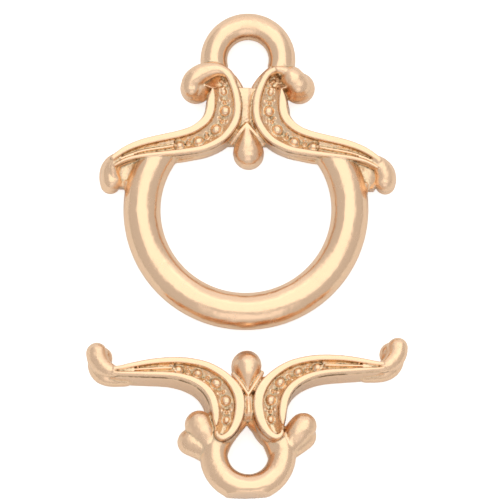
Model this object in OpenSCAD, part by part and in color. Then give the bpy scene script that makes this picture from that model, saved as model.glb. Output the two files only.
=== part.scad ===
// A toggle clasp for a necklace or bracelet, cast in two loose halves that lie apart.
// The ring half is a round ring with two beaded scrolls and an eye above it.
// The bar half is a pair of beaded scrolls with an eye below, and it passes through the ring.
// Millimetres. The origin is the ring's centre on the surface that the clasp lies on.
// X runs to the right, Y up towards the ring half's eye, and Z up out of the surface.

/* [Ring] */
// Radius from the ring's centre to the middle of its wire
ring_r = 6.93; // [6.85:0.01:7]
// Radius of the ring's wire
ring_wire_r = 1.245; // [1.2:0.005:1.3]
// Angle above level at which each end of the ring runs under its scroll
ring_end = 46; // [44:1:50]

/* [Eyes] */
// Radius from an eye's centre to the middle of its wire
eye_r = 2.26; // [2.24:0.01:2.3]
// Radius of an eye's wire
eye_wire_r = 0.93; // [0.91:0.01:0.97]
// Radius of the straight land inside an eye
eye_hole_r = 1.38; // [1.37:0.01:1.42]
// Distance from the bar half's eye centre to the flat where its sprue was cut
sprue_cut = 2.85; // [2.6:0.05:3.05]

/* [Scrolls] */
// How far the ring half's scrolls reach out beyond the ring
ring_overhang = 1.825; // [1.75:0.005:1.9]
// Reach of the bar half's scrolls from the centre line
bar_reach = 10.8; // [10.7:0.05:10.9]
// Height of the rims above the middle plane of a casting
rim_z = 1.3; // [1.27:0.01:1.4]
// Depth of the plain back below the middle plane of a casting
back_z = 1.07; // [1:0.01:1.07]
// Depth of the beaded channel below the rims
channel_d = 0.5; // [0.4:0.05:0.6]
// Width of a rim
rim_w = 0.4; // [0.35:0.01:0.42]
// Radius of the largest bead in the channel
bead_r = 0.3; // [0.25:0.01:0.32]

/* [Drop, volutes and knobs] */
// Radius of the round end of the drop between the scrolls
drop_r = 1.08; // [1:0.01:1.1]
// Length of the drop from its round end's centre to its tip
drop_l = 1.9; // [1.6:0.05:2.2]
// Radius of a volute's ball in front
volute_r = 0.94; // [0.9:0.01:0.98]
// Radius of a volute's ball behind
volute_back_r = 1.07; // [1.05:0.01:1.12]
// Radius of the ring half's end knobs
ring_knob_r = 0.68; // [0.65:0.01:0.72]
// Radius of the bar half's end knobs
bar_knob_r = 0.78; // [0.74:0.01:0.82]
// Half the distance between the front and back balls of a knob
knob_z = 0.25; // [0.2:0.01:0.3]

/* [Lie] */
// Distance of the bar half's middle to the right of the ring's centre
bar_x = 0.24; // [-1:0.01:1]
// Distance of the bar half's middle below the ring's centre
bar_y = 13.35; // [13:0.01:16]
// Angle by which the bar half lies turned to the left
bar_turn = 1.5; // [-5:0.1:5]
// Angle by which the bar half's eye is propped up on its volutes
bar_lean = 6.5; // [4:0.1:8]

/* [Hidden] */
$fn = 48;

gold = "#e6b990";
eps = 0.01;
steps = 3;            // short straight lengths between two rows of a rim's table
eye_z = -0.15;        // an eye's wire lies a little behind the middle plane
eye_end = 50;         // angle past level at which an eye's wire ends inside the scrolls
web_top = 0.55;       // top of the web between the scrolls
web_rib_w = 0.16;
back_step = 0.25;     // the rims stop this far above the plain back
crown_h = 0.12;       // height and inset of the soft edge along a rim's top
crown_w = 0.72;
ridge_r = 0.15;       // the V of ridges over the drop
section_turn = 30;
curl_r = 1.05;        // radius of the volute's curl, and of its tube
curl_wire_r = 0.62;
curl_z = 0.5;         // the curl and the volutes' balls lie above the middle plane
ring_volute_z = 0.25;
bar_volute_z = 0.1;
neck_r = 0.86;        // neck between the bar half's eye and a volute
ring_tail_r = 0.58;   // radius of the wire of a tail that bends into a knob
bar_tail_r = 0.6;
tail_z = 0.4;         // half the distance between the front and back wires of a tail
knob_in = 0.05;       // the outside of a knob lies this far inside the reach
knob_web_z = [-0.7, 0.25];

// Rims of the ring half: across and up from the ring's centre as shares of ring_reach,
// and width as a share of rim_w. The inner rim runs from the volute to the end knob.
RING_INNER = [
    // across, up, width
    [0.190, 0.940, 0.9],
    [0.130, 0.900, 0.9],
    [0.080, 0.810, 0.9],
    [0.058, 0.720, 0.95],
    [0.055, 0.660, 1],
    [0.070, 0.580, 1],
    [0.120, 0.500, 1],
    [0.180, 0.440, 1],
    [0.280, 0.395, 0.95],
    [0.380, 0.372, 0.9],
    [0.480, 0.362, 0.85],
    [0.590, 0.352, 0.8],
    [0.710, 0.340, 0.75],
    [0.800, 0.322, 0.7],
    [0.860, 0.295, 0.6]];
// The outer rim runs from its point under the volute to the end knob.
RING_OUTER = [
    // across, up, width
    [0.230, 0.815, 0.3],
    [0.227, 0.730, 1.3],
    [0.250, 0.630, 1.4],
    [0.290, 0.568, 1.3],
    [0.350, 0.520, 1.2],
    [0.450, 0.487, 1.1],
    [0.600, 0.452, 1],
    [0.720, 0.422, 1],
    [0.800, 0.390, 1],
    [0.860, 0.350, 1.1],
    [0.900, 0.300, 1.2]];
// Rims of the bar half, as shares of bar_reach and rim_w, up from the half's middle.
BAR_INNER = [
    // across, up, width
    [0.145, -0.228, 0.8],
    [0.080, -0.160, 0.9],
    [0.053, -0.088, 1],
    [0.053, -0.009, 1],
    [0.076, 0.077, 1],
    [0.130, 0.153, 1],
    [0.204, 0.209, 1],
    [0.278, 0.244, 1],
    [0.389, 0.265, 0.95],
    [0.500, 0.270, 0.9],
    [0.611, 0.263, 0.85],
    [0.722, 0.250, 0.8],
    [0.840, 0.233, 0.7]];
BAR_OUTER = [
    // across, up, width
    [0.204, -0.165, 0.3],
    [0.211, -0.120, 1.2],
    [0.215, -0.051, 1.4],
    [0.229, 0.022, 1.3],
    [0.266, 0.083, 1.2],
    [0.333, 0.125, 1.1],
    [0.407, 0.151, 1],
    [0.509, 0.171, 0.95],
    [0.630, 0.181, 0.9],
    [0.741, 0.185, 0.85],
    [0.840, 0.190, 0.8]];

// Beads in a channel: across and up as shares of the reach, radius as a share of bead_r.
RING_BEADS = [
    [0.150, 0.790, 0.73],
    [0.140, 0.660, 1],
    [0.205, 0.525, 1],
    [0.320, 0.445, 0.93],
    [0.450, 0.420, 0.83]];
BAR_BEADS = [
    [0.144, -0.123, 0.67],
    [0.134, 0.011, 1],
    [0.199, 0.130, 1],
    [0.311, 0.196, 0.8],
    [0.435, 0.220, 0.83]];
// Flat spacers between the beads: across and up as shares of the reach, and turn.
RING_SPACERS = [
    [0.145, 0.725, 0],
    [0.157, 0.585, 30],
    [0.260, 0.468, 65],
    [0.380, 0.427, 78]];
BAR_SPACERS = [
    [0.130, -0.080, 0],
    [0.153, 0.065, -25],
    [0.255, 0.162, -60],
    [0.370, 0.204, -78]];
spacer_w = 0.42;      // width across the channel
spacer_l = 0.22;      // length along the channel
spacer_h = 0.25;      // height above the channel's floor
midrib_w = 0.14;      // the rib that follows the last bead out to the knob
midrib_from = 0.4;    // distance from the last bead's centre to where the midrib starts

ring_reach = ring_r + ring_wire_r + ring_overhang;
// Places of the round pieces, each [across, up] from its half's own centre, as shares of
// the reach.
ring_drop = ring_reach * [0, 0.39];
ring_eye = ring_reach * [0, 1.03];
ring_curl = ring_reach * [0.255, 0.83];
ring_volute = ring_reach * [0.345, 0.845];
ring_volute_back = ring_reach * [0.335, 0.833];
ring_knob = [ring_reach - ring_knob_r - knob_in, 0.178 * ring_reach];
ring_knob_bend = [0.774 * ring_reach, 0.215 * ring_reach];
ring_bend_r = ring_knob.x - ring_knob_bend.x;
bar_drop = bar_reach * [0, 0.255];
bar_eye = bar_reach * [0, -0.32];
bar_volute = bar_reach * [0.332, -0.133];
bar_volute_back = bar_reach * [0.326, -0.18];
bar_neck = bar_reach * [0.175, -0.255];
bar_knob = [bar_reach - bar_knob_r - knob_in, 0.335 * bar_reach];
bar_knob_bend = [0.827 * bar_reach, 0.307 * bar_reach];
bar_bend_r = bar_knob.x - bar_knob_bend.x;
// Low and high end of the web between the two scrolls
ring_web = ring_reach * [0.46, 0.825];
bar_web = bar_reach * [-0.157, 0.176];
// Outline of the thin web between a knob and the ring, and of the one between a knob and
// its wing on the bar half
RING_KNOB_WEB = ring_reach * [
    [0.72, 0.33], [0.90, 0.31], [0.90, 0.17], [0.845, 0.125], [0.81, 0.05], [0.75, 0.12]];
BAR_KNOB_WEB = bar_reach * [
    [0.78, 0.215], [0.88, 0.215], [0.88, 0.33], [0.842, 0.32], [0.822, 0.26], [0.79, 0.245]];

// The bar half lies on the backs of its two knobs and its two volutes, so the depth of the
// volutes behind its middle plane follows from the lean.
foot_gap = bar_knob.y - bar_volute_back.y;
foot_step = volute_back_r - bar_knob_r;
bar_volute_back_z = -knob_z - (foot_gap * sin(bar_lean) - foot_step) / cos(bar_lean);
bar_lift = bar_knob.y * sin(bar_lean) + knob_z * cos(bar_lean) + bar_knob_r;
ring_volute_back_z = volute_back_r - ring_wire_r;

// One row of a smooth curve through the rows of table t, at u from 0 to len(t) - 1.
function curve_at(t, u) =
    let (
        last = len(t) - 1,
        i = min(floor(u), last - 1),
        f = u - i,
        a = t[max(i - 1, 0)],
        b = t[i],
        c = t[i + 1],
        d = t[min(i + 2, last)])
    0.5 * (2 * b + (c - a) * f + (2 * a - 5 * b + 4 * c - d) * f * f
        + (3 * b - a - 3 * c + d) * f * f * f);

// A rim's table as a smooth run of [across, up, width] in millimetres.
function rim_run(t, reach) = [
    for (k = [0 : steps * (len(t) - 1)])
        let (row = curve_at(t, k / steps))
        [row.x * reach, row.y * reach, row.z * rim_w]];

// The point a distance s to the left of run c at row k.
function beside(c, k, s) =
    let (
        a = c[max(k - 1, 0)],
        b = c[min(k + 1, len(c) - 1)],
        way = [b.x - a.x, b.y - a.y] / norm([b.x - a.x, b.y - a.y]))
    [c[k].x - s * way.y, c[k].y + s * way.x];

// Outline of a band along run c, with its width taken times w.
function band(c, w) = concat(
    [for (k = [0 : len(c) - 1]) beside(c, k, c[k].z * w / 2)],
    [for (k = [len(c) - 1 : -1 : 0]) beside(c, k, -c[k].z * w / 2)]);

function flat(c) = [for (p = c) [p.x, p.y]];
function backwards(c) = [for (k = [len(c) - 1 : -1 : 0]) c[k]];
function mirrored(c) = [for (p = c) [-p.x, p.y]];

module slab(z0, z1) {
    translate([0, 0, z0])
        linear_extrude(z1 - z0)
            children();
}

// Both sides of a piece that is the same to the left and right of the centre line.
module both() {
    children();
    mirror([1, 0, 0])
        children();
}

// A rim stands up from near the back and has a narrower, soft top.
module rim(run) {
    slab(-back_z + back_step, rim_z - crown_h)
        polygon(band(run, 1));
    slab(rim_z - crown_h - eps, rim_z)
        polygon(band(run, crown_w));
}

// One scroll: a plate between two rims, with beads, flat spacers and a midrib in its channel.
module scroll(inner, outer, reach, beads, spacers) {
    floor_z = rim_z - channel_d;
    slab(-back_z, floor_z)
        polygon(concat(flat(inner), flat(backwards(outer))));
    rim(inner);
    rim(outer);
    for (b = beads)
        translate([b.x * reach, b.y * reach, floor_z + 0.3 * b.z * bead_r])
            sphere(b.z * bead_r, $fn = 24);
    for (s = spacers)
        translate([s.x * reach, s.y * reach, floor_z])
            rotate([0, 0, s.z])
                cube([spacer_w, spacer_l, 2 * spacer_h], center = true);
    slab(floor_z - eps, floor_z + spacer_h)
        polygon(midrib(inner, outer, beads[len(beads) - 1].x * reach));
}

// The midrib runs halfway between the rims, from beyond the last bead's x to the knob.
function midrib(inner, outer, bead_x) =
    let (
        line = [
            for (k = [0 : len(inner) - 1 - steps])
                let (
                    p = inner[k],
                    across = lookup(p.x, flat(outer)))
                if (p.x > bead_x + midrib_from) [p.x, (p.y + across) / 2, midrib_w]])
    band(line, 1);

// The web closes the gap between the two inner rims, and carries a thin upright rib.
module web(inner, ends) {
    side = [for (p = inner) if (p.y > ends[0] && p.y < ends[1]) [p.x, p.y]];
    slab(-back_z + back_step, web_top)
        polygon(concat(side, mirrored(backwards(side))));
    slab(web_top - eps, web_top + crown_h)
        translate([-web_rib_w / 2, ends[0]])
            square([web_rib_w, ends[1] - ends[0] - crown_h]);
}

// The drop is round all about: a ball drawn out to a point, with its point towards the web.
module drop() {
    edge = acos(drop_r / drop_l);
    rotate([-90, 0, 0])
        rotate_extrude()
            polygon(concat(
                [[0, drop_l]],
                [for (a = [edge : (180 - edge) / 10 : 180.1]) drop_r * [max(sin(a), 0), cos(a)]]));
}

// Two ridges cup the drop in a V that opens towards its round end.
module drop_ridges() {
    tip = [0, drop_l + 0.1, web_top];
    foot = [drop_r * 0.9, drop_r * 0.38, drop_r * 0.45];
    way = foot - tip;
    both()
        translate(tip)
            rotate([0, acos(way.z / norm(way)), atan2(way.y, way.x)])
                cylinder(r = ridge_r, h = norm(way), $fn = 16);
}

// An eye is an open loop of round wire whose ends run into the scrolls on both sides of
// the gap. The gap faces down, towards -Y.
module eye() {
    translate([0, 0, eye_z])
        rotate([0, 0, -eye_end])
            rotate_extrude(angle = 180 + 2 * eye_end)
                translate([eye_r, 0])
                    circle(eye_wire_r);
}

module eye_hole() {
    cylinder(r = eye_hole_r, h = 4 * rim_z, center = true);
}

// A bent length of round wire about its own centre, from one angle to another. Its section
// is turned so that its seam stays clear of the knobs and balls that it runs into.
module bend(r, wire_r, from, to) {
    rotate([0, 0, from])
        rotate_extrude(angle = to - from)
            translate([r, 0])
                rotate(section_turn)
                    circle(wire_r, $fn = 32);
}

// A knob or tail shows a front half and a back half that meet in a parting line.
module front_and_back(z) {
    for (s = [-1, 1])
        translate([0, 0, s * z])
            children();
}

module ring_wire(inner) {
    last = len(inner) - 1;
    difference() {
        rotate([0, 0, 180 - ring_end])
            rotate_extrude(angle = 180 + 2 * ring_end)
                translate([ring_r, 0])
                    circle(ring_wire_r);
        // The ring stops under the middle of the inner rims.
        slab(-2 * ring_wire_r, 2 * ring_wire_r)
            polygon(concat(
                flat(inner),
                [[ring_reach, inner[last].y], [ring_reach, ring_eye.y]],
                [[-ring_reach, ring_eye.y], [-ring_reach, inner[last].y]],
                mirrored(backwards(inner))));
    }
}

// A volute on the ring half curls over from the inner rim and ends in a ball.
module ring_volute() {
    translate([ring_curl.x, ring_curl.y, curl_z])
        bend(curl_r, curl_wire_r, -10, 150);
    translate([ring_volute.x, ring_volute.y, ring_volute_z])
        sphere(volute_r);
    translate([ring_volute_back.x, ring_volute_back.y, ring_volute_back_z])
        sphere(volute_back_r);
}

// The end knob hangs down beside the ring, and a thin web ties it to the ring.
module ring_end_knob() {
    front_and_back(tail_z)
        translate(ring_knob_bend)
            bend(ring_bend_r, ring_tail_r, -5, 66);
    front_and_back(knob_z)
        translate(ring_knob)
            sphere(ring_knob_r);
    slab(knob_web_z[0], knob_web_z[1])
        polygon(RING_KNOB_WEB);
}

// A volute on the bar half is a ball on a short neck from the eye's wire, with a larger
// ball behind it that the half lies on.
module bar_volute() {
    way = bar_volute_back - bar_neck;
    translate([bar_volute.x, bar_volute.y, bar_volute_z])
        sphere(volute_r);
    translate([bar_volute_back.x, bar_volute_back.y, bar_volute_back_z])
        sphere(volute_back_r);
    translate([bar_neck.x, bar_neck.y, -bar_volute_z])
        rotate([0, 90, atan2(way.y, way.x)])
            cylinder(r = neck_r, h = norm(way));
}

module bar_end_knob() {
    front_and_back(tail_z)
        translate(bar_knob_bend)
            bend(bar_bend_r, bar_tail_r, -92, 2);
    front_and_back(knob_z)
        translate(bar_knob)
            sphere(bar_knob_r);
    slab(knob_web_z[0], knob_web_z[1])
        polygon(BAR_KNOB_WEB);
}

module ring_half() {
    inner = rim_run(RING_INNER, ring_reach);
    outer = rim_run(RING_OUTER, ring_reach);
    color(gold)
        translate([0, 0, ring_wire_r])
            difference() {
                union() {
                    ring_wire(inner);
                    both() {
                        scroll(inner, outer, ring_reach, RING_BEADS, RING_SPACERS);
                        ring_volute();
                        ring_end_knob();
                    }
                    web(inner, ring_web);
                    translate(ring_drop) {
                        drop();
                        drop_ridges();
                    }
                    translate(ring_eye)
                        eye();
                }
                translate(ring_eye)
                    eye_hole();
            }
}

module bar_half() {
    inner = rim_run(BAR_INNER, bar_reach);
    outer = rim_run(BAR_OUTER, bar_reach);
    color(gold)
        translate([bar_x, -bar_y, bar_lift])
            rotate([0, 0, bar_turn])
                rotate([-bar_lean, 0, 0])
                    difference() {
                        union() {
                            both() {
                                scroll(inner, outer, bar_reach, BAR_BEADS, BAR_SPACERS);
                                bar_volute();
                                bar_end_knob();
                            }
                            web(inner, bar_web);
                            translate(bar_drop)
                                rotate([0, 0, 180]) {
                                    drop();
                                    drop_ridges();
                                }
                            translate(bar_eye)
                                rotate([0, 0, 180])
                                    eye();
                        }
                        translate(bar_eye) {
                            eye_hole();
                            // The flat left by the cut sprue
                            translate([-eye_r, -sprue_cut - eye_r, -eye_r])
                                cube([2 * eye_r, eye_r, 2 * eye_r]);
                        }
                    }
}

ring_half();
bar_half();
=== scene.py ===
from math import atan2, cos, hypot, pi, radians, sin

import bpy
from mathutils import Matrix, Vector

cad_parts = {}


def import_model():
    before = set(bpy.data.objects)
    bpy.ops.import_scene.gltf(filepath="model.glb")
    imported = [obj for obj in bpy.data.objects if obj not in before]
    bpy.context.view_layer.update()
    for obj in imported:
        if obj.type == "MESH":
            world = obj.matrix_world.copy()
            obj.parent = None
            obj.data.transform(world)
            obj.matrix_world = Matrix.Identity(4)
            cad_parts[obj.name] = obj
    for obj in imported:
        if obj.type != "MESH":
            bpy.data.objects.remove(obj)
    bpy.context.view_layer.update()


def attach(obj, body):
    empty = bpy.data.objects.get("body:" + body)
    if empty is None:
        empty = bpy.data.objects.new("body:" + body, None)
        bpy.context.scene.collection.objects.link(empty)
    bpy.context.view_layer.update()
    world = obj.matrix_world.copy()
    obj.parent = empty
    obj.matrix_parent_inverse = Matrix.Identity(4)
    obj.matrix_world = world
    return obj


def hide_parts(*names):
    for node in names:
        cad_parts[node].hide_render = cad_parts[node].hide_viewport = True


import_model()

MM = 0.001


# Camera, floor and light.
# The clasp lies on a white sheet and is seen nearly from above, a little from the bar
# half's side, through a long lens. A wide soft light hangs over it in a pale room.

VIEW_AZIMUTH = 4.5
VIEW_ELEVATION = 77.5
VIEW_ROLL = 0.75
# how much the picture shows across at the clasp
FRAME_WIDTH = 33.33 * MM
LENS = 800
SENSOR = 36
CLIP_START = 0.01
CLIP_END = 10
RING_WIRE_R = 1.245
# from the ring's centre to the middle of the picture
LOOK_RIGHT = 0.273
LOOK_UP = -2.68

azimuth, elevation, roll = radians(VIEW_AZIMUTH), radians(VIEW_ELEVATION), radians(VIEW_ROLL)
back = Vector((sin(azimuth) * cos(elevation), -cos(azimuth) * cos(elevation), sin(elevation)))
level = Vector((0, 1, 0)).cross(back).normalized()
upright = back.cross(level)
right = cos(roll) * level + sin(roll) * upright
up = cos(roll) * upright - sin(roll) * level
target = Vector((0, 0, RING_WIRE_R * MM)) + MM * (LOOK_RIGHT * right + LOOK_UP * up)

camera_data = bpy.data.cameras.new("camera")
camera_data.lens = LENS
camera_data.sensor_width = SENSOR
camera_data.clip_start = CLIP_START
camera_data.clip_end = CLIP_END
camera = bpy.data.objects.new("camera", camera_data)
bpy.context.scene.collection.objects.link(camera)
camera.matrix_world = Matrix.Translation(target + back * FRAME_WIDTH * LENS / SENSOR) @ Matrix(
    (right, up, back)).transposed().to_4x4()
bpy.context.scene.camera = camera
bpy.context.scene.view_settings.view_transform = "Standard"


def linear(hex_colour):
    """An sRGB hex colour as linear red, green, blue and alpha."""
    parts = [int(hex_colour[i:i + 2], 16) / 255 for i in (1, 3, 5)]
    return [c / 12.92 if c <= 0.04045 else ((c + 0.055) / 1.055) ** 2.4 for c in parts] + [1]


def add_node(tree, kind, settings=None, inputs=None):
    """Adds a node, sets its settings and fills its inputs with values or links."""
    node = tree.nodes.new(kind)
    for key, value in (settings or {}).items():
        setattr(node, key, value)
    for key, value in (inputs or {}).items():
        if isinstance(value, bpy.types.NodeSocket):
            tree.links.new(value, node.inputs[key])
        else:
            node.inputs[key].default_value = value
    return node


def set_stops(ramp_node, stops):
    """Gives a colour ramp its stops, each a position and a colour."""
    ramp = ramp_node.color_ramp
    while len(ramp.elements) < len(stops):
        ramp.elements.new(1)
    for element, (position, colour) in zip(ramp.elements, stops):
        element.position = position
        element.color = colour


def grey(value):
    """A grey as linear red, green, blue and alpha."""
    return (value, value, value, 1)


def deselect():
    bpy.ops.object.select_all(action="DESELECT")


# White paper. It glows a little towards the castings and much more towards the camera, so
# it looks plain white and keeps only the softest shadows.
FLOOR_SIZE = 1.2
PAPER_WHITE = 0.86
PAPER_GLOW = 0.07
PAPER_LIFT = 0.6
deselect()
bpy.ops.mesh.primitive_plane_add(size=FLOOR_SIZE, location=(0, 0, 0))
floor = bpy.context.object
floor.name = "floor"
paper = bpy.data.materials.new("white_paper")
paper.use_nodes = True
tree = paper.node_tree
tree.nodes.clear()
seen = add_node(tree, "ShaderNodeLightPath")
lift = add_node(tree, "ShaderNodeMath", {"operation": "MULTIPLY_ADD"}, {
    0: seen.outputs["Is Camera Ray"], 1: PAPER_LIFT, 2: PAPER_GLOW})
diffuse = add_node(tree, "ShaderNodeBsdfDiffuse", inputs={
    "Color": grey(PAPER_WHITE), "Roughness": 0.5})
glow = add_node(tree, "ShaderNodeEmission", inputs={
    "Color": grey(1), "Strength": lift.outputs[0]})
lit_paper = add_node(tree, "ShaderNodeAddShader", inputs={
    0: diffuse.outputs[0], 1: glow.outputs[0]})
add_node(tree, "ShaderNodeOutputMaterial", inputs={"Surface": lit_paper.outputs[0]})
floor.data.materials.append(paper)

# The room has pale walls, darker low down. A broad soft light hangs over the clasp and a
# little behind it, a bright wall stands behind that, and a small light shines from in front.
# how far up the walls, from 0 for level to 1 for overhead, and their brightness there
WALLS = [(0.0, 0.58), (0.12, 0.62), (0.35, 0.66), (1.0, 0.66)]
# how far right and how far back of overhead each light is, with 1 for level, its half sizes
# across and back, and its brightness
LIGHTS = [
    (0.05, 0.19, 0.50, 0.50, 0.72),
    (0.02, 0.86, 0.60, 0.28, 0.34),
    (0.02, -0.71, 0.32, 0.19, 0.46)]
SOFT_EDGE = 0.1
# the brightness at which the light starts to turn yellowish, and where it is so in full
TINT_FROM = 1.15
TINT_FULL = 1.38
world = bpy.data.worlds.new("room")
bpy.context.scene.world = world
world.use_nodes = True
tree = world.node_tree
tree.nodes.clear()
direction = add_node(tree, "ShaderNodeTexCoord").outputs["Generated"]
toward = add_node(tree, "ShaderNodeSeparateXYZ", inputs={"Vector": direction})
walls = add_node(tree, "ShaderNodeValToRGB", inputs={"Fac": toward.outputs["Z"]})
set_stops(walls, [(position, grey(value)) for position, value in WALLS])
total = walls.outputs["Color"]
above = add_node(tree, "ShaderNodeMath", {"operation": "GREATER_THAN"}, {
    0: toward.outputs["Z"], 1: 0}).outputs[0]
for x, y, half_x, half_y, brightness in LIGHTS:
    within = above
    for axis, middle, half in (("X", x, half_x), ("Y", y, half_y)):
        off = add_node(tree, "ShaderNodeMath", {"operation": "SUBTRACT"}, {
            0: toward.outputs[axis], 1: middle}).outputs[0]
        off = add_node(tree, "ShaderNodeMath", {"operation": "ABSOLUTE"}, {0: off}).outputs[0]
        edge = add_node(tree, "ShaderNodeMapRange", {"interpolation_type": "SMOOTHSTEP"}, {
            "Value": off, "From Min": half + SOFT_EDGE, "From Max": half - SOFT_EDGE,
            "To Min": 0, "To Max": 1}).outputs[0]
        within = add_node(tree, "ShaderNodeMath", {"operation": "MULTIPLY"}, {
            0: within, 1: edge}).outputs[0]
    total = add_node(tree, "ShaderNodeMath", {"operation": "MULTIPLY_ADD"}, {
        0: within, 1: brightness, 2: total}).outputs[0]
brightest = add_node(tree, "ShaderNodeMapRange", inputs={
    "Value": total, "From Min": TINT_FROM, "From Max": TINT_FULL,
    "To Min": 0, "To Max": 1}).outputs[0]
tint = add_node(tree, "ShaderNodeMix", {"data_type": "RGBA"}, {
    "Factor": brightest, "A": grey(1), "B": linear("#fbfff9")}).outputs["Result"]
room = add_node(tree, "ShaderNodeBackground", inputs={"Color": tint, "Strength": total})
add_node(tree, "ShaderNodeOutputWorld", inputs={"Surface": room.outputs[0]})


# The ring half.
# One casting in zinc alloy, tumbled smooth and plated in pale rose gold: a round ring under
# two scrolls with beaded channels, a drop between them, two volutes, two end knobs and an eye.

# Millimetres, with heights from the casting's middle plane.
RING_R = 6.93
EYE_Y = 10.3
EYE_Z = -0.15
EYE_R = 2.28
EYE_WIRE_R = 0.9
# the angles at which the eye's wire starts and stops
EYE_ENDS = (-20, 200)
RIM_Z = 1.3
# the flat back of the channels, which the rims and webs stop a little short of
BACK_Z = -1.07
FOOT_Z = BACK_Z + 0.25
# the floor of a channel, which is dished deeper in the scroll than out in its wing
CHANNEL_Z = 1.12
CHANNEL_DISH = 0.52
WING_DISH = 0.28
CHANNEL_LAP = 0.3
MIDRIB_Z = 1.16
MIDRIB_FOOT = 0.3
MIDRIB_DRAFT = 0.04
# the web between the scrolls with its ridge, and the skirt from it to the drop
WEB_Z = 0.74
WEB_RIDGE = 0.26
WEB_FALL = 0.6
WEB_CREASE = -0.1
# the balls that the volutes end in
VOLUTE_BALL_R = 1.06
VOLUTE_BALL_Z = -0.175
SKIRT_Z = 0.55
SKIRT_FALL = 0.42
# the bowl where a channel ends under its volute
BOWL_Z = 0.88
BOWL_DISH = 0.28
BOWL_FALL = 0.42
# the thin web between an end knob and the ring
KNOB_WEB_Z = 0.78
KNOB_WEB_FOOT = -0.7
KNOB_WEB_DISH = 0.26
KNOB_WEB_FALL = 0.3
# the step under a rim, how far it stands out, and how far the rim is sunk into it
LEDGE_Z = 0.86
LEDGE = 0.07
RIM_SUNK = 0.4
RIM_DRAFT = 0.03
BEAD_Z = 0.67
GRAIN_Z = 0.55
VOXEL = 0.05
RING_TRIANGLES = 190000


def curve_at(table, u):
    """One row of a smooth curve through the rows of a table, at u from 0 to its last row."""
    last = len(table) - 1
    i = min(int(u), last - 1)
    f = u - i
    a, b, c, d = (table[min(max(k, 0), last)] for k in (i - 1, i, i + 1, i + 2))
    return [0.5 * (2 * q + (r - p) * f + (2 * p - 5 * q + 4 * r - s) * f * f
            + (3 * q - p - 3 * r + s) * f ** 3) for p, q, r, s in zip(a, b, c, d)]


def smooth(table, steps):
    """The table's rows with steps short lengths between each pair of rows."""
    return [curve_at(table, k / steps) for k in range(steps * (len(table) - 1) + 1)]


def headings(points):
    """The way along a run at each of its points, as an angle from +X."""
    ahead = list(points[1:]) + [points[-1]]
    behind = [points[0]] + list(points[:-1])
    return [atan2(b[1] - a[1], b[0] - a[0]) for a, b in zip(behind, ahead)]


def edit():
    bpy.ops.object.mode_set(mode="EDIT")


def done():
    """Leaves edit mode and gives back the piece that was edited."""
    bpy.ops.object.mode_set(mode="OBJECT")
    return bpy.context.object


def draw_out(points, angles, scales, deepen):
    """Extrudes the selected section from point to point, turns it to each angle and scales
    it. A bar scales in depth too, and a wall keeps its depth."""
    for k in range(1, len(points)):
        step = Vector(points[k]) - Vector(points[k - 1])
        bpy.ops.mesh.extrude_region_move(TRANSFORM_OT_translate={"value": step})
        turn = (angles[k] - angles[k - 1] + pi) % (2 * pi) - pi
        bpy.ops.transform.rotate(value=-turn, orient_axis="Z", center_override=points[k])
        wide = scales[k] / scales[k - 1]
        bpy.ops.transform.resize(
            value=(wide, wide, wide if deepen else 1), center_override=points[k])
    return done()


# short lengths between two rows of a bar and of a rim
BAR_STEPS = 4
RIM_STEPS = 3
# sides round a thick bar and round a thin one
THICK = 32
THIN = 16
# angles in radians at which the sections of a bar's rounded end lie
ROUND_END = (0.3, 0.6, 0.9, 1.15, 1.35)


def bar(rows, sides=24):
    """A round bar through rows of across, up, height and radius, with rounded ends."""
    rows = smooth(rows, BAR_STEPS)
    angles = headings(rows)
    for end, way in ((0, -1), (-1, 1)):
        x, y, z, r = rows[end]
        a = angles[end]
        cap = [[x + way * r * sin(t) * cos(a), y + way * r * sin(t) * sin(a), z, r * cos(t)]
               for t in ROUND_END]
        if end:
            rows, angles = rows + cap, angles + [a] * len(cap)
        else:
            rows, angles = cap[::-1] + rows, [a] * len(cap) + angles
    points = [row[:3] for row in rows]
    bpy.ops.mesh.primitive_circle_add(
        vertices=sides, radius=rows[0][3], fill_type="NGON", location=points[0],
        rotation=(pi / 2, 0, angles[0] + pi / 2))
    edit()
    return draw_out(points, angles, [row[3] for row in rows], True)


# how far a wall's top falls at its edges, as a share of its width
TOP_ROUND = 0.16


def wall(rows, top, bottom, spread):
    """An upright wall along rows of across, up and width, with a rounded top. It widens by
    spread on each side down to its foot, as a casting does to leave its mould."""
    angles = headings(rows)
    points = [(row[0], row[1], top) for row in rows]
    width = rows[0][2]
    bpy.ops.mesh.primitive_grid_add(
        x_subdivisions=6, y_subdivisions=1, size=1,
        location=(points[0][0], points[0][1], (top + bottom) / 2),
        rotation=(pi / 2, 0, angles[0] + pi / 2))
    strip = bpy.context.object
    for vertex in strip.data.vertices:
        if vertex.co.y > 0:
            vertex.co.y -= width * TOP_ROUND / (top - bottom) * abs(2 * vertex.co.x) ** 3
        else:
            vertex.co.x *= 1 + 2 * spread / width
    strip.scale = (width, top - bottom, 1)
    bpy.ops.object.transform_apply(location=True, rotation=True, scale=True)
    edit()
    return draw_out(points, angles, [row[2] for row in rows], False)


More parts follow.
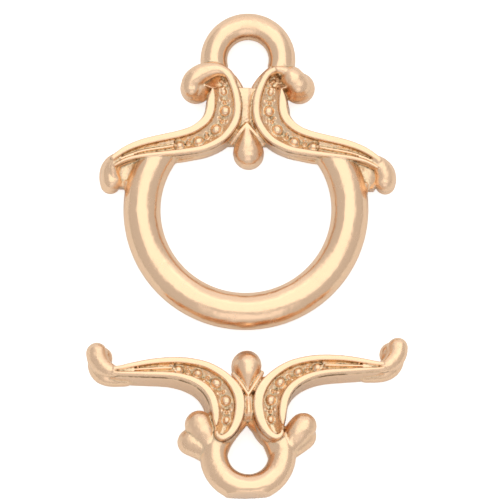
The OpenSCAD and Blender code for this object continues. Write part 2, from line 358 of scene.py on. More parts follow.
def plate(one, other, top, bottom, rungs, dish, bend=1.4, fall=0):
    """A plate between two runs: an upright strip from one to the other, drawn along both.
    Its top is dished by so much along the middle, or raised where that is below zero, and a
    bend of 1 gives it straight slopes. Its top's end lies lower by the fall."""
    def at(run, share):
        """The point at a share of a run's length."""
        far = [0]
        for a, b in zip(run, run[1:]):
            far.append(far[-1] + hypot(b[0] - a[0], b[1] - a[1]))
        goal = share * far[-1]
        k = max(i for i in range(len(run) - 1) if far[i] <= goal + 1e-9)
        f = (goal - far[k]) / (far[k + 1] - far[k])
        return Vector(run[k][:2]).lerp(Vector(run[k + 1][:2]), f)
    pairs = [(at(one, k / rungs), at(other, k / rungs)) for k in range(rungs + 1)]
    points = [(*((a + b) / 2), top - fall * (k / rungs) ** 2) for k, (a, b) in enumerate(pairs)]
    angles = [atan2(b.y - a.y, b.x - a.x) + pi / 2 for a, b in pairs]
    widths = [(b - a).length for a, b in pairs]
    bpy.ops.mesh.primitive_grid_add(
        x_subdivisions=12, y_subdivisions=1, size=1,
        location=(points[0][0], points[0][1], (top + bottom) / 2),
        rotation=(pi / 2, 0, angles[0] + pi / 2))
    strip = bpy.context.object
    for vertex in strip.data.vertices:
        if vertex.co.y > 0:
            vertex.co.y -= dish / (top - bottom) * (1 - abs(2 * vertex.co.x) ** bend)
    strip.scale = (widths[0], top - bottom, 1)
    bpy.ops.object.transform_apply(location=True, rotation=True, scale=True)
    edit()
    strip = draw_out(points, angles, widths, False)
    for vertex in strip.data.vertices:
        vertex.co.z = max(vertex.co.z, bottom)
    return strip


def ball(place, radius):
    """A ball of this radius at a place."""
    bpy.ops.mesh.primitive_uv_sphere_add(
        segments=32, ring_count=20, radius=radius, location=place)
    return bpy.context.object


def arc(centre, radius, wire_r, start, stop, steps, sides=32):
    """A round wire bent round a centre: a disc spun from one angle to another."""
    a = radians(start)
    bpy.ops.mesh.primitive_circle_add(
        vertices=sides, radius=wire_r, fill_type="NGON",
        location=(centre[0] + radius * cos(a), centre[1] + radius * sin(a), centre[2]),
        rotation=(pi / 2, 0, a))
    edit()
    points = []
    angles = []
    for k in range(steps + 1):
        t = radians(start + (stop - start) * k / steps)
        points.append((centre[0] + radius * cos(t), centre[1] + radius * sin(t), centre[2]))
        angles.append(t)
    return draw_out(points, angles, [1] * (steps + 1), True)


def join(pieces):
    """One piece of all these forms, with its size and place in its mesh."""
    deselect()
    for piece in pieces:
        piece.select_set(True)
    bpy.context.view_layer.objects.active = pieces[0]
    bpy.ops.object.join()
    bpy.ops.object.transform_apply(location=True, rotation=True, scale=True)
    return bpy.context.object


def copied(piece):
    """A selected copy of a piece with its own mesh."""
    deselect()
    copy = piece.copy()
    copy.data = piece.data.copy()
    bpy.context.scene.collection.objects.link(copy)
    copy.select_set(True)
    bpy.context.view_layer.objects.active = copy
    return copy


def trough(one, other, far):
    """The floor of a channel, which runs shallower beyond so far from the centre line."""
    def scroll(rows):
        return [row for row in rows if 0 < row[0] < far + CHANNEL_LAP]

    def wing(rows):
        return [row for row in rows if row[0] > far]
    return [
        plate(scroll(one), scroll(other), CHANNEL_Z, BACK_Z, rungs=50, dish=CHANNEL_DISH),
        plate(wing(one), wing(other), CHANNEL_Z, BACK_Z, rungs=30, dish=WING_DISH, bend=1.2)]


def rim(rows):
    """A rim on a body that stands out a little below it."""
    return [
        wall(rows, RIM_Z, LEDGE_Z - RIM_SUNK, 0),
        wall([(x, y, w + 2 * LEDGE) for x, y, w in rows], LEDGE_Z, FOOT_Z, RIM_DRAFT)]


def mirrored(piece):
    """A copy of a piece on the other side of the centre line."""
    copy = copied(piece)
    copy.scale = (-1, 1, 1)
    bpy.ops.object.transform_apply(location=True, rotation=True, scale=True)
    edit()
    bpy.ops.mesh.select_all(action="SELECT")
    bpy.ops.mesh.flip_normals()
    return done()


def stretch(rows, low, high):
    """The places along a rim that lie between two heights up the half."""
    return [(x, y) for x, y, width in rows if low < y < high]


def opposite(edge):
    """The same places on the other side of the centre line."""
    return [(-x, y) for x, y in edge]


# across, up and width in millimetres from the half's centre, out along the right scroll
RING_INNER = [
    (1.90, 9.40, 0.34), (1.32, 9.02, 0.40), (0.88, 8.15, 0.46), (0.66, 7.30, 0.50),
    (0.62, 6.60, 0.50), (0.76, 5.82, 0.50), (1.20, 5.05, 0.46), (1.82, 4.45, 0.42),
    (2.80, 3.97, 0.38), (3.80, 3.76, 0.36), (4.80, 3.62, 0.33), (5.90, 3.50, 0.29),
    (7.00, 3.36, 0.26), (7.90, 3.14, 0.22), (8.45, 2.88, 0.19), (8.80, 2.66, 0.16)]
RING_OUTER = [
    (2.28, 8.05, 0.12), (2.33, 7.60, 0.40), (2.38, 7.10, 0.56), (2.44, 6.55, 0.58),
    (2.62, 6.05, 0.56), (2.98, 5.62, 0.52), (3.55, 5.22, 0.48), (4.30, 4.94, 0.46),
    (5.10, 4.74, 0.46), (6.00, 4.54, 0.45), (6.90, 4.30, 0.44), (7.80, 3.95, 0.40),
    (8.50, 3.52, 0.36), (8.95, 3.14, 0.32)]
RING_MIDRIB = [
    (4.85, 4.10, 0.14), (5.40, 3.99, 0.16), (6.20, 3.86, 0.16), (7.00, 3.70, 0.15),
    (7.90, 3.40, 0.13), (8.40, 3.16, 0.12)]
# across, up and radius of the beads
RING_BEADS = [
    (1.58, 7.90, 0.24), (1.45, 6.58, 0.36), (2.04, 5.30, 0.36), (3.20, 4.50, 0.33),
    (4.46, 4.20, 0.31)]
# across, up and turn of the clusters of grains between them, in degrees
RING_GRAINS = [
    (1.50, 8.52, 20), (1.28, 8.18, -5), (1.98, 8.12, 8), (1.50, 7.22, 5), (1.62, 5.92, 30),
    (2.60, 4.80, 60), (3.84, 4.36, 80)]

# across, along and radius of the three grains in a cluster
CLUSTER = [(-0.27, 0.06, 0.17), (0.0, -0.05, 0.21), (0.28, 0.04, 0.15)]
GRAIN_NARROW = 0.8
GRAIN_HEIGHT = 0.3
BEAD_DOME = 0.8
BEAD_ROOT = 1.2

# One bead with a flattened dome and one small grain, copied along every channel.
bead = ball((0, 0, 0), 1)
for vertex in bead.data.vertices:
    vertex.co.z *= BEAD_DOME if vertex.co.z > 0 else BEAD_ROOT
bpy.ops.mesh.primitive_ico_sphere_add(subdivisions=1, radius=1, location=(0, 0, 0))
spur = bpy.context.object


def channel(beads, clusters):
    """The round beads of a channel, with three small grains across it between two beads."""
    made = []
    for x, y, r in beads:
        piece = copied(bead)
        piece.location = (x, y, BEAD_Z)
        piece.scale = (r, r, r)
        made.append(piece)
    for x, y, turn in clusters:
        a = radians(turn)
        for across, along, size in CLUSTER:
            piece = copied(spur)
            piece.location = (x + across * cos(a) - along * sin(a),
                              y + across * sin(a) + along * cos(a), GRAIN_Z)
            piece.rotation_euler = (0, 0, a)
            piece.scale = (size, size * GRAIN_NARROW, GRAIN_HEIGHT)
            made.append(piece)
    return made


inner = smooth(RING_INNER, RIM_STEPS)
outer = smooth(RING_OUTER, RIM_STEPS)
# the channel's floor starts on this row of the inner rim, and its wing so far out
RING_FLOOR_FROM = 6
RING_WING_X = 4.6

side = [
    *trough(inner[RING_FLOOR_FROM:], outer, RING_WING_X),
    # the bowl under the volute
    plate([(0.86, 8.2), (1.0, 8.7), (1.35, 9.1), (1.8, 9.4)],
          [(2.3, 8.1), (2.6, 8.2), (2.95, 8.4), (3.1, 8.8)],
          BOWL_Z, FOOT_Z, rungs=16, dish=BOWL_DISH, fall=BOWL_FALL),
    *rim(inner),
    *rim(outer),
    wall(smooth(RING_MIDRIB, RIM_STEPS), MIDRIB_Z, MIDRIB_FOOT, MIDRIB_DRAFT),
    # the back half of the mould stood out a little under the lower rim
    bar([(1.25, 5.1, -0.1, 0.4), (1.75, 4.72, -0.1, 0.46), (2.4, 4.32, -0.1, 0.5),
         (3.2, 4.0, -0.1, 0.52), (4.2, 3.76, -0.1, 0.52), (5.2, 3.62, -0.1, 0.5)]),
]
side += channel(RING_BEADS, RING_GRAINS)
# the thin web between the end knob and the ring, with a drip at its end
side += [
    plate([(6.9, 3.4), (7.25, 2.5), (7.45, 1.9), (7.6, 1.4)],
          [(9.0, 3.2), (8.9, 2.4), (8.7, 1.8), (8.5, 1.45)],
          KNOB_WEB_Z, KNOB_WEB_FOOT, rungs=12, dish=KNOB_WEB_DISH, bend=1.6,
          fall=KNOB_WEB_FALL),
    bar([(7.95, 1.75, 0.2, 0.26), (7.82, 1.2, 0.12, 0.3), (7.77, 0.98, 0.1, 0.28)], THIN),
]
right_side = join(side)
left_side = mirrored(right_side)

# The end knobs bend down from the rims, each in a front and a back half. The left one has a
# narrow crest along its front.
knobs = [
    bar([(8.62, 3.2, 0.78, 0.44), (8.95, 2.95, 0.7, 0.54), (9.18, 2.6, 0.56, 0.62),
         (9.28, 2.22, 0.44, 0.66), (9.24, 1.9, 0.35, 0.67)], THICK),
    bar([(7.9, 3.5, -0.4, 0.5), (8.7, 3.3, -0.4, 0.58), (9.2, 2.85, -0.35, 0.64),
         (9.33, 2.3, -0.25, 0.68), (9.27, 1.86, -0.2, 0.68)], THICK),
    bar([(-8.6, 3.2, 0.6, 0.42), (-8.85, 2.9, 0.42, 0.54), (-9.0, 2.5, 0.28, 0.62),
         (-9.02, 2.15, 0.18, 0.66), (-8.95, 1.84, 0.12, 0.68)], THICK),
    bar([(-8.45, 3.3, 0.9, 0.22), (-8.78, 2.95, 0.86, 0.26), (-8.9, 2.55, 0.76, 0.28),
         (-8.82, 2.2, 0.62, 0.3), (-8.68, 1.9, 0.45, 0.3)]),
    bar([(-7.9, 3.5, -0.4, 0.5), (-8.7, 3.3, -0.4, 0.58), (-9.1, 2.8, -0.35, 0.64),
         (-9.15, 2.2, -0.25, 0.68), (-9.07, 1.72, -0.2, 0.68)], THICK),
]

# The ring's wire is cut off along the lower rims, and thinner stubs run on under the
# channels.
RING_END = 40
CUT_AT = (5.9, 3.48)
CUT_FACES = (0.117, 0.993)
ring = arc((0, 0, 0), RING_R, RING_WIRE_R, 180 - RING_END, 360 + RING_END,
           steps=190, sides=48)
edit()
for way in (1, -1):
    bpy.ops.mesh.select_all(action="SELECT")
    bpy.ops.mesh.bisect(
        plane_co=(way * CUT_AT[0], CUT_AT[1], 0),
        plane_no=(way * CUT_FACES[0], CUT_FACES[1], 0), use_fill=True, clear_outer=True)
done()
stubs = [bar([(way * 6.0, 3.3, -0.15, 0.95), (way * 5.7, 3.75, -0.25, 0.9),
              (way * 5.4, 4.1, -0.3, 0.85)]) for way in (1, -1)]
# from where to where up the half the web and the skirt join the inner rims
RING_WEB_SPAN = (5.0, 8.3)
RING_SKIRT_SPAN = (4.3, 6.6)
web_edge = stretch(inner, *RING_WEB_SPAN)
skirt_edge = stretch(inner, *RING_SKIRT_SPAN)
middle = [
    # the web is flat on the left and slopes down to the right from its middle
    plate(opposite(web_edge), web_edge,
          WEB_Z, FOOT_Z, rungs=20, dish=-WEB_RIDGE, bend=1, fall=WEB_FALL),
    plate(opposite(web_edge), [(WEB_CREASE, y) for x, y in web_edge],
          WEB_Z + WEB_RIDGE, FOOT_Z, rungs=20, dish=0, fall=WEB_FALL),
    plate(opposite(skirt_edge), skirt_edge,
          SKIRT_Z, FOOT_Z, rungs=16, dish=0, fall=SKIRT_FALL),
    # the scrolls slope down into the eye's hole
    *[bar([(way * 0.42, 7.9, 0.5, 0.2), (way * 0.5, 8.18, 0.5, 0.24),
           (way * 0.79, 8.64, 0.48, 0.26), (way * 1.18, 9.12, 0.4, 0.26),
           (way * 1.52, 9.48, 0.3, 0.24)], THIN) for way in (1, -1)],
    # the drop, whose back half reaches a little further
    bar([(0.0, 5.7, 0.66, 0.1), (0.02, 5.3, 0.5, 0.36), (0.05, 4.85, 0.33, 0.65),
         (0.07, 4.4, 0.2, 0.87), (0.09, 3.95, 0.1, 0.99), (0.1, 3.78, 0.06, 1.0)], THICK),
    bar([(0.05, 4.9, -0.2, 0.75), (0.09, 4.4, -0.17, 0.95), (0.12, 3.92, -0.15, 1.04),
         (0.13, 3.8, -0.15, 1.03)], THICK),
    # fine ridges run down from the drop's point along its sides
    bar([(0.0, 5.74, 0.68, 0.1), (-0.42, 5.25, 0.65, 0.14), (-0.78, 4.8, 0.5, 0.16),
         (-1.0, 4.5, 0.28, 0.16)], THIN),
    bar([(0.02, 5.74, 0.68, 0.1), (0.48, 5.2, 0.65, 0.14), (0.86, 4.75, 0.5, 0.16),
         (1.08, 4.45, 0.28, 0.16)], THIN),
]
eye = arc((0, EYE_Y, EYE_Z), EYE_R, EYE_WIRE_R, *EYE_ENDS, steps=80, sides=40)
volutes = [
    # the eye's ends thin out and sink under the scrolls
    *[bar([(way * 2.16, 9.6, -0.15, 0.88), (way * 1.9, 9.2, -0.42, 0.62),
           (way * 1.5, 8.85, -0.6, 0.42)]) for way in (1, -1)],
    # the left rim swells and curls over its volute, and the right rim runs out onto a ball
    bar([(-0.85, 8.2, 1.02, 0.22), (-1.02, 8.75, 1.0, 0.26), (-1.45, 9.18, 0.94, 0.34),
         (-2.15, 9.42, 0.82, 0.48), (-3.05, 9.17, 0.62, 0.66), (-3.62, 8.68, 0.44, 0.74),
         (-3.72, 8.2, 0.32, 0.72)], THICK),
    bar([(1.3, 9.0, 1.05, 0.2), (1.9, 9.38, 0.95, 0.24), (2.5, 9.35, 0.8, 0.3),
         (3.0, 9.1, 0.55, 0.4)]),
    bar([(2.98, 8.98, 0.5, 0.74), (3.2, 8.72, 0.48, 0.78), (3.42, 8.44, 0.4, 0.78)], THICK),
    ball((3.45, 8.38, VOLUTE_BALL_Z), VOLUTE_BALL_R),
    ball((-3.45, 8.33, VOLUTE_BALL_Z), VOLUTE_BALL_R),
]
casting = join([right_side, left_side, *knobs, ring, *stubs, *middle, eye, *volutes])


# The skin is smoothed three times. What a longer smoothing would fill is a fine line, and
# what a much longer one would fill is a hollow, each in full at its depth.
SOFT_TIMES = 3
LINE_TIMES = 12
LINE_DEPTH = 0.014
HOLLOW_TIMES = 90
HOLLOW_DEPTH = 0.06
# Haze fades out over the outer part of its circle. A rim's side is steep skin close to the
# rim, where the normal points up by less than this share. Each edge value is how fast the
# mark fades there.
HAZE_EDGE = 2.5
STEEP_FROM = 0.75
STEEP_EDGE = 5
RIM_NEAR = 0.3
RIM_EDGE = 10
# short lengths between two rows of an inner rim, where the way to the rim is measured
NEAR_RIM_STEPS = 4


def limited(value):
    """The value, or 0 or 1 where it lies below or above them."""
    return min(max(value, 0), 1)


def soften(piece, times):
    """Smooths a piece's skin so many times."""
    soft = piece.modifiers.new("soft", "SMOOTH")
    soft.factor = 0.5
    soft.iterations = times
    bpy.ops.object.modifier_apply(modifier="soft")


def sunk(piece, times, full):
    """How far each vertex lies below a copy of the piece smoothed so many times, as a share
    of the depth that counts as full."""
    copy = copied(piece)
    soften(copy, times)
    found = [(b.co - a.co).dot(a.normal) / full
             for a, b in zip(piece.data.vertices, copy.data.vertices)]
    bpy.data.objects.remove(copy)
    deselect()
    piece.select_set(True)
    bpy.context.view_layer.objects.active = piece
    return [limited(depth) for depth in found]


def record(piece, name, values):
    """Keeps one value a vertex with the mesh, for the finish to read."""
    layer = piece.data.attributes.new(name, "FLOAT", "POINT")
    layer.data.foreach_set("value", values)


def cast(piece, name, most, rims, hazy, cut=None):
    """Runs the joined forms together into one skin with soft corners and at most so many
    triangles, cut off flat below a given height up the half. It records the skin's fine
    lines, its hollows, the step under the rims and the hazy places, each a place and a
    radius."""
    deselect()
    piece.select_set(True)
    bpy.context.view_layer.objects.active = piece
    piece.name = name
    piece.data.name = name
    skin = piece.modifiers.new("skin", "REMESH")
    skin.mode = "VOXEL"
    skin.voxel_size = VOXEL
    bpy.ops.object.modifier_apply(modifier="skin")
    if cut:
        edit()
        bpy.ops.mesh.select_all(action="SELECT")
        bpy.ops.mesh.bisect(
            plane_co=(0, cut, 0), plane_no=(0, -1, 0), use_fill=True, clear_outer=True)
        bpy.ops.mesh.quads_convert_to_tris()
        done()
    soften(piece, SOFT_TIMES)
    record(piece, "fine_line", sunk(piece, LINE_TIMES, LINE_DEPTH))
    record(piece, "hollow", sunk(piece, HOLLOW_TIMES, HOLLOW_DEPTH))
    triangles = sum(len(polygon.vertices) - 2 for polygon in piece.data.polygons)
    if triangles > most:
        fewer = piece.modifiers.new("fewer", "DECIMATE")
        fewer.ratio = most / triangles
        bpy.ops.object.modifier_apply(modifier="fewer")
    haze = []
    for vertex in piece.data.vertices:
        near = [1 - (vertex.co.xy - Vector((x, y))).length / reach for x, y, reach in hazy]
        haze.append(limited(max(near) * HAZE_EDGE))
    record(piece, "haze", haze)
    record(piece, "above_step", [vertex.co.z - LEDGE_Z for vertex in piece.data.vertices])
    by_rim = []
    for vertex in piece.data.vertices:
        x = abs(vertex.co.x)
        y = vertex.co.y
        gap = min(hypot(x - a, y - b) - width / 2 for a, b, width in rims)
        steep = limited((STEEP_FROM - vertex.normal.z) * STEEP_EDGE)
        by_rim.append(limited((RIM_NEAR - gap) * RIM_EDGE) * steep)
    record(piece, "by_rim", by_rim)
    for polygon in piece.data.polygons:
        polygon.use_smooth = True
    return piece


def lay(piece, matrix):
    """Puts a finished casting in its place, from millimetres to metres."""
    piece.data.transform(Matrix.Scale(MM, 4) @ matrix)
    piece.data.update()


# across, up and radius of the hazy places: knobs, volutes, drop, eye, knob webs and web
RING_HAZE = [
    (9.2, 2.6, 1.9), (-9.1, 2.6, 1.9), (3.4, 8.6, 1.9), (-3.2, 8.8, 2.0), (0, 4.2, 1.4),
    (0, 12.4, 2.0), (7.9, 2.0, 1.2), (-7.9, 2.0, 1.2), (0, 6.9, 1.0)]
ring_half = cast(
    casting, "ring_half_casting", RING_TRIANGLES,
    smooth(RING_INNER, NEAR_RIM_STEPS) + outer, RING_HAZE)
lay(ring_half, Matrix.Translation((0, 0, RING_WIRE_R)))


def per_mm(size):
    """The scale of a pattern whose features are about so many millimetres across."""
    return 1 / (size * MM)


# Pale rose gold plate over a tumbled casting. It mirrors the room a little blurred: cream
# from the light, tan from the walls, and yellow to brown where it mirrors itself in the
# hollows. There its colour is painted paler and yellower, to tone down that mirrored light.
# Tumbling leaves broad waves and hazy patches, and the hollows keep a pitted skin. Brown
# painted shade darkens the finest lines, the pits in the hollows and the step under the rims.
PLATE = "#f6d1af"
# the plate's colour in the hollows, painted paler and yellower so the light they mirror from
# each other comes out less orange
HOLLOW_LIGHT_TINT = "#ecd5b2"
# the brown of the painted shade in the finest lines, the hollows' pits and the step under the
# rims
PAINTED_SHADE = "#775c40"
# width of a wave, a patch and a pit, and the depth of the waves and the pits
WAVE_WIDTH = 1.4
PATCH_WIDTH = 0.9
PIT_WIDTH = 0.2
WAVE_DEPTH = 0.07
PIT_DEPTH = 0.09
# roughness of the tumbled plate, and what haze, patches and hollows add to it
TUMBLED_ROUGHNESS = 0.18
HAZE_ROUGHNESS = 0.07
PATCH_ROUGHNESS = 0.1
HOLLOW_ROUGHNESS = 0.1
# where the patches start and are full
PATCH_FROM = 0.44
PATCH_FULL = 0.66
# how strongly the skin is pitted: everywhere, in the hollows, and in hazy patches beside them
PITS_ALL_OVER = 0.04
PITS_IN_HOLLOWS = 0.9
PITS_IN_HAZE = 0.6
# where the pits and the fine lines start to take painted shade, where it is full, and how dark
SPECK_FROM = 0.55
SPECK_FULL = 0.63
SPECK_DARK = 0.5
LINE_FROM = 0.4
LINE_FULL = 1.1
LINE_DARK = 0.5
# half the width of the line of painted shade under the rims, where it fades out and where it is
# full, and how much of it is left where the patches are least and most
STEP_FADE = 0.085
STEP_FULL = 0.02
BROKEN_FROM = 0.4
BROKEN_FULL = 0.56
STEP_LEAST = 0.25
STEP_MOST = 0.9

rose_gold = bpy.data.materials.new("rose_gold_plate")
rose_gold.use_nodes = True
tree = rose_gold.node_tree
tree.nodes.clear()
spot = add_node(tree, "ShaderNodeTexCoord").outputs["Object"]
line = add_node(tree, "ShaderNodeAttribute", {"attribute_name": "fine_line"}).outputs["Fac"]
sunken = add_node(tree, "ShaderNodeAttribute", {"attribute_name": "hollow"}).outputs["Fac"]
hazed = add_node(tree, "ShaderNodeAttribute", {"attribute_name": "haze"}).outputs["Fac"]
step = add_node(tree, "ShaderNodeAttribute", {"attribute_name": "above_step"}).outputs["Fac"]
rimmed = add_node(tree, "ShaderNodeAttribute", {"attribute_name": "by_rim"}).outputs["Fac"]

waves = add_node(tree, "ShaderNodeTexNoise", inputs={
    "Vector": spot, "Scale": per_mm(WAVE_WIDTH), "Detail": 2, "Roughness": 0.5}).outputs["Fac"]
patches = add_node(tree, "ShaderNodeTexNoise", inputs={
    "Vector": spot, "Scale": per_mm(PATCH_WIDTH), "Detail": 4, "Roughness": 0.65}).outputs["Fac"]
pits = add_node(tree, "ShaderNodeTexNoise", inputs={
    "Vector": spot, "Scale": per_mm(PIT_WIDTH), "Detail": 2, "Roughness": 0.6}).outputs["Fac"]

patchy = add_node(tree, "ShaderNodeMapRange", {"interpolation_type": "SMOOTHSTEP"}, {
    "Value": patches, "From Min": PATCH_FROM, "From Max": PATCH_FULL,
    "To Min": 0, "To Max": 1}).outputs[0]
hazy_patches = add_node(tree, "ShaderNodeMath", {"operation": "MULTIPLY"}, {
    0: patchy, 1: hazed}).outputs[0]
uneven = add_node(tree, "ShaderNodeMath", {"operation": "MULTIPLY_ADD", "use_clamp": True}, {
    0: hazy_patches, 1: PITS_IN_HAZE, 2: sunken}).outputs[0]
specks = add_node(tree, "ShaderNodeMapRange", {"interpolation_type": "SMOOTHSTEP"}, {
    "Value": pits, "From Min": SPECK_FROM, "From Max": SPECK_FULL,
    "To Min": 0, "To Max": SPECK_DARK}).outputs[0]
# what roughens the skin: patches everywhere, haze on the knobs and volutes, and the hollows
haze_part = add_node(tree, "ShaderNodeMath", {"operation": "MULTIPLY_ADD"}, {
    0: hazed, 1: HAZE_ROUGHNESS, 2: TUMBLED_ROUGHNESS}).outputs[0]
patch_part = add_node(tree, "ShaderNodeMath", {"operation": "MULTIPLY_ADD"}, {
    0: patchy, 1: PATCH_ROUGHNESS, 2: haze_part}).outputs[0]
roughness = add_node(tree, "ShaderNodeMath", {"operation": "MULTIPLY_ADD", "use_clamp": True}, {
    0: sunken, 1: HOLLOW_ROUGHNESS, 2: patch_part}).outputs[0]

# painted shade in the finest lines
in_lines = add_node(tree, "ShaderNodeMapRange", {"interpolation_type": "SMOOTHSTEP"}, {
    "Value": line, "From Min": LINE_FROM, "From Max": LINE_FULL,
    "To Min": 0, "To Max": LINE_DARK}).outputs[0]
# a fine line of painted shade lies along the step under the rims, broken here and there
off_step = add_node(tree, "ShaderNodeMath", {"operation": "ABSOLUTE"}, {0: step}).outputs[0]
on_step = add_node(tree, "ShaderNodeMapRange", {"interpolation_type": "SMOOTHSTEP"}, {
    "Value": off_step, "From Min": STEP_FADE, "From Max": STEP_FULL,
    "To Min": 0, "To Max": 1}).outputs[0]
kept = add_node(tree, "ShaderNodeMapRange", {"interpolation_type": "SMOOTHSTEP"}, {
    "Value": patches, "From Min": BROKEN_FROM, "From Max": BROKEN_FULL,
    "To Min": STEP_LEAST, "To Max": STEP_MOST}).outputs[0]
under_rim = add_node(tree, "ShaderNodeMath", {"operation": "MULTIPLY"}, {
    0: on_step, 1: rimmed}).outputs[0]
step_line = add_node(tree, "ShaderNodeMath", {"operation": "MULTIPLY"}, {
    0: under_rim, 1: kept}).outputs[0]
# painted shade on the pits in the hollows, added to that in the finest lines
spotted = add_node(tree, "ShaderNodeMath", {"operation": "MULTIPLY_ADD"}, {
    0: specks, 1: sunken, 2: in_lines}).outputs[0]
# all the painted shade together: pits in the hollows, finest lines and the step under the rims
painted_shade = add_node(tree, "ShaderNodeMath", {"operation": "ADD", "use_clamp": True}, {
    0: spotted, 1: step_line}).outputs[0]
# the hollows take the paler, yellower painted colour that tones down the light they mirror
hollow_light_tinted = add_node(tree, "ShaderNodeMix", {"data_type": "RGBA"}, {
    "Factor": sunken, "A": linear(PLATE), "B": linear(HOLLOW_LIGHT_TINT)}).outputs["Result"]
plate_colour = add_node(tree, "ShaderNodeMix", {"data_type": "RGBA"}, {
    "Factor": painted_shade, "A": hollow_light_tinted, "B": linear(PAINTED_SHADE)}).outputs["Result"]

tumbled = add_node(tree, "ShaderNodeBump", inputs={
    "Height": waves, "Strength": 1, "Distance": WAVE_DEPTH * MM})
pit_strength = add_node(tree, "ShaderNodeMath", {"operation": "MULTIPLY_ADD"}, {
    0: uneven, 1: PITS_IN_HOLLOWS, 2: PITS_ALL_OVER}).outputs[0]
pitted = add_node(tree, "ShaderNodeBump", inputs={
    "Height": pits, "Strength": pit_strength, "Distance": PIT_DEPTH * MM,
    "Normal": tumbled.outputs[0]})
metal = add_node(tree, "ShaderNodeBsdfPrincipled", inputs={
    "Base Color": plate_colour, "Metallic": 1, "Roughness": roughness,
    "Normal": pitted.outputs[0]})
add_node(tree, "ShaderNodeOutputMaterial", inputs={"Surface": metal.outputs[0]})
ring_half.data.materials.clear()
ring_half.data.materials.append(rose_gold)
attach(ring_half, "root")
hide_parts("ring_half")


# The bar half.
# The second casting of the same alloy and plate: two longer scrolls make the bar that passes
# through the ring, with a drop above and an eye below that runs out into two volutes. It
# lies propped on the backs of its knobs and volutes.

# how the bar half lies: right of and below the ring's centre, lifted, leaning and turned
BAR_X = 0.24
BAR_Y = -13.35
BAR_LIFT = 1.438
BAR_LEAN = 6.5
BAR_TURN = 1.5
# how far its front lies to the right for each millimetre of height
BAR_SHIFT = 0.14
BAR_EYE = (0.05, -3.45, -0.12)
BAR_EYE_R = 2.265
BAR_EYE_WIRE_R = 0.92
BAR_EYE_ENDS = (150, 390)
# the flat where the sprue was cut off
SPRUE_Y = -6.25
BAR_TRIANGLES = 150000

# across, up and width from the half's centre, out along the right scroll
BAR_INNER = [
    (2.16, -2.12, 0.16), (2.12, -2.42, 0.26), (1.78, -2.60, 0.36), (1.28, -2.30, 0.44),
    (0.90, -1.70, 0.54), (0.67, -0.95, 0.63), (0.61, -0.10, 0.64),
    (0.83, 0.75, 0.62), (1.40, 1.55, 0.50), (2.15, 2.15, 0.46), (3.00, 2.57, 0.42),
    (4.20, 2.83, 0.40), (5.40, 2.87, 0.38), (6.60, 2.77, 0.36), (7.80, 2.56, 0.32),
    (8.45, 2.42, 0.28), (9.00, 2.36, 0.24)]
BAR_OUTER = [
    (2.22, -1.75, 0.14), (2.20, -1.30, 0.40), (2.25, -0.60, 0.52), (2.42, 0.15, 0.52),
    (2.80, 0.80, 0.48), (3.40, 1.30, 0.42), (4.20, 1.66, 0.36), (5.20, 1.88, 0.31),
    (6.70, 1.96, 0.27), (7.90, 2.00, 0.22), (8.60, 2.03, 0.18), (9.05, 2.08, 0.16)]
BAR_MIDRIB = [
    (5.05, 2.38, 0.14), (5.80, 2.35, 0.16), (6.80, 2.31, 0.15), (7.80, 2.27, 0.13),
    (8.60, 2.24, 0.12)]
# across, up and radius of the beads
BAR_BEADS = [
    (1.46, -1.24, 0.26), (1.48, 0.11, 0.37), (2.10, 1.36, 0.36), (3.33, 2.08, 0.30),
    (4.62, 2.34, 0.33)]
# across, up and turn of the clusters of grains between them, in degrees
BAR_GRAINS = [(1.44, -0.62, 0), (1.66, 0.78, -30), (2.72, 1.78, -62), (4.0, 2.18, -80)]

inner = smooth(BAR_INNER, RIM_STEPS)
outer = smooth(BAR_OUTER, RIM_STEPS)
BAR_FLOOR_FROM = 9
BAR_WING_X = 4.8
side = [
    *trough(outer, inner[BAR_FLOOR_FROM:], BAR_WING_X),
    # the end of the channel in the rim's hook
    plate([(0.72, -1.2), (0.95, -1.75), (1.3, -2.3)],
          [(2.25, -1.15), (2.25, -1.5), (2.3, -2.3)],
          CHANNEL_Z, FOOT_Z, rungs=12, dish=CHANNEL_DISH),
    *rim(inner),
    *rim(outer),
    wall(smooth(BAR_MIDRIB, RIM_STEPS), MIDRIB_Z, MIDRIB_FOOT, MIDRIB_DRAFT),
]
side += channel(BAR_BEADS, BAR_GRAINS)
# the tail that bends up into the end knob, in front and behind, and the eye's shoulder
side += [
    bar([(8.95, 2.25, 0.8, 0.42), (9.3, 2.42, 0.72, 0.52), (9.68, 2.76, 0.58, 0.62),
         (9.93, 3.22, 0.45, 0.68), (10.0, 3.72, 0.35, 0.7)], THICK),
    bar([(8.0, 2.2, -0.4, 0.6), (9.0, 2.3, -0.4, 0.68), (9.55, 2.6, -0.35, 0.74),
         (9.75, 3.1, -0.25, 0.78), (9.65, 3.5, -0.2, 0.78)], THICK),
    bar([(2.15, -3.3, -0.15, 0.85), (1.8, -2.45, -0.15, 0.82), (1.28, -1.65, -0.15, 0.82),
         (0.76, -1.05, -0.15, 0.8)], THICK),
]
right_side = join(side)
left_side = mirrored(right_side)

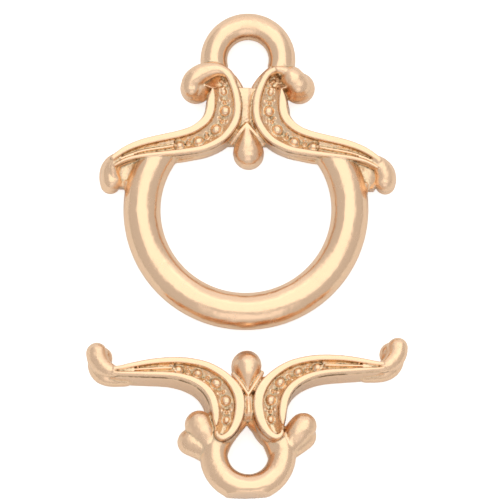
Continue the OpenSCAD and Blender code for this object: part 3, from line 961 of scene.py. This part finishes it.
# the web has an upper and a lower part
BAR_WEB_SPAN = (-0.9, 1.3)
BAR_LOW_WEB_SPAN = (-1.45, -0.5)
BAR_SKIRT_SPAN = (-0.1, 2.0)
web_edge = stretch(inner, *BAR_WEB_SPAN)
low_edge = stretch(inner, *BAR_LOW_WEB_SPAN)[::-1]
skirt_edge = stretch(inner, *BAR_SKIRT_SPAN)
middle = [
    # the web falls away towards the drop and towards the eye, and the skirt runs under the drop
    plate(web_edge, opposite(web_edge),
          WEB_Z, FOOT_Z, rungs=20, dish=-WEB_RIDGE, bend=1, fall=WEB_FALL),
    plate(opposite(low_edge), low_edge,
          WEB_Z, FOOT_Z, rungs=16, dish=-WEB_RIDGE, bend=1, fall=WEB_FALL),
    plate(skirt_edge, opposite(skirt_edge),
          SKIRT_Z, FOOT_Z, rungs=16, dish=0, fall=SKIRT_FALL),
    # the drop in front and behind, and the ridges along its sides
    bar([(0.0, 0.8, 0.38, 0.1), (0.0, 1.15, 0.3, 0.32), (0.0, 1.6, 0.24, 0.6),
         (0.01, 2.15, 0.2, 0.86), (0.01, 2.64, 0.16, 0.98)], THICK),
    bar([(0, 2.0, -0.12, 0.8), (0, 2.45, -0.1, 0.96), (0, 2.82, -0.08, 1.0)], THICK),
    bar([(0.0, 0.5, 0.74, 0.1), (0.4, 1.15, 0.68, 0.14), (0.76, 1.72, 0.54, 0.16),
         (0.98, 2.15, 0.3, 0.16)], THIN),
    bar([(0.0, 0.5, 0.74, 0.1), (-0.38, 1.15, 0.68, 0.14), (-0.72, 1.68, 0.54, 0.16),
         (-0.92, 2.1, 0.3, 0.16)], THIN),
]
eye = arc(BAR_EYE, BAR_EYE_R, BAR_EYE_WIRE_R, *BAR_EYE_ENDS, steps=90, sides=40)
volutes = [
    # each volute has a lobe in front and one behind
    bar([(2.3, -3.5, -0.1, 0.82), (2.72, -2.8, -0.06, 0.78), (3.2, -2.15, 0.12, 0.9),
         (3.66, -1.62, 0.2, 0.93)], THICK),
    bar([(2.4, -3.2, -0.35, 0.8), (3.1, -2.6, -0.38, 0.9), (3.72, -2.12, -0.4, 0.92)], THICK),
    bar([(-2.2, -3.4, -0.1, 0.82), (-2.5, -2.7, -0.06, 0.78), (-2.85, -1.95, 0.12, 0.9),
         (-3.24, -1.34, 0.2, 0.93)], THICK),
    bar([(-2.4, -3.2, -0.35, 0.8), (-3.0, -2.7, -0.38, 0.9), (-3.7, -2.35, -0.4, 0.9)], THICK),
    # the stub where the metal ran in
    bar([(-0.9, -5.75, -0.12, 0.8), (0.0, -5.9, -0.12, 0.85), (0.95, -5.75, -0.12, 0.8)], THICK),
]
casting = join([right_side, left_side, *middle, eye, *volutes])
# across, up and radius of the hazy places: knobs, volutes, drop, eye and web
BAR_HAZE = [
    (9.8, 3.2, 2.0), (-9.8, 3.2, 2.0), (3.7, -1.8, 2.2), (-3.3, -1.6, 2.2), (0, 2.6, 1.4),
    (2.4, -4.4, 1.5), (-2.4, -4.4, 1.5), (0, -0.4, 0.9)]
bar_half = cast(
    casting, "bar_half_casting", BAR_TRIANGLES,
    smooth(BAR_INNER, NEAR_RIM_STEPS) + outer, BAR_HAZE, SPRUE_Y)
# the front of the mould sat a little to the right of its back
shift = Matrix(((1, 0, BAR_SHIFT, 0), (0, 1, 0, 0), (0, 0, 1, 0), (0, 0, 0, 1)))
turn = Matrix.Rotation(radians(BAR_TURN), 4, "Z")
lean = Matrix.Rotation(radians(-BAR_LEAN), 4, "X")
lay(bar_half, Matrix.Translation((BAR_X, BAR_Y, BAR_LIFT)) @ turn @ lean @ shift)
bar_half.data.materials.clear()
bar_half.data.materials.append(rose_gold)
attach(bar_half, "root")
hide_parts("bar_half")

for pattern in (bead, spur):
    bpy.data.objects.remove(pattern)
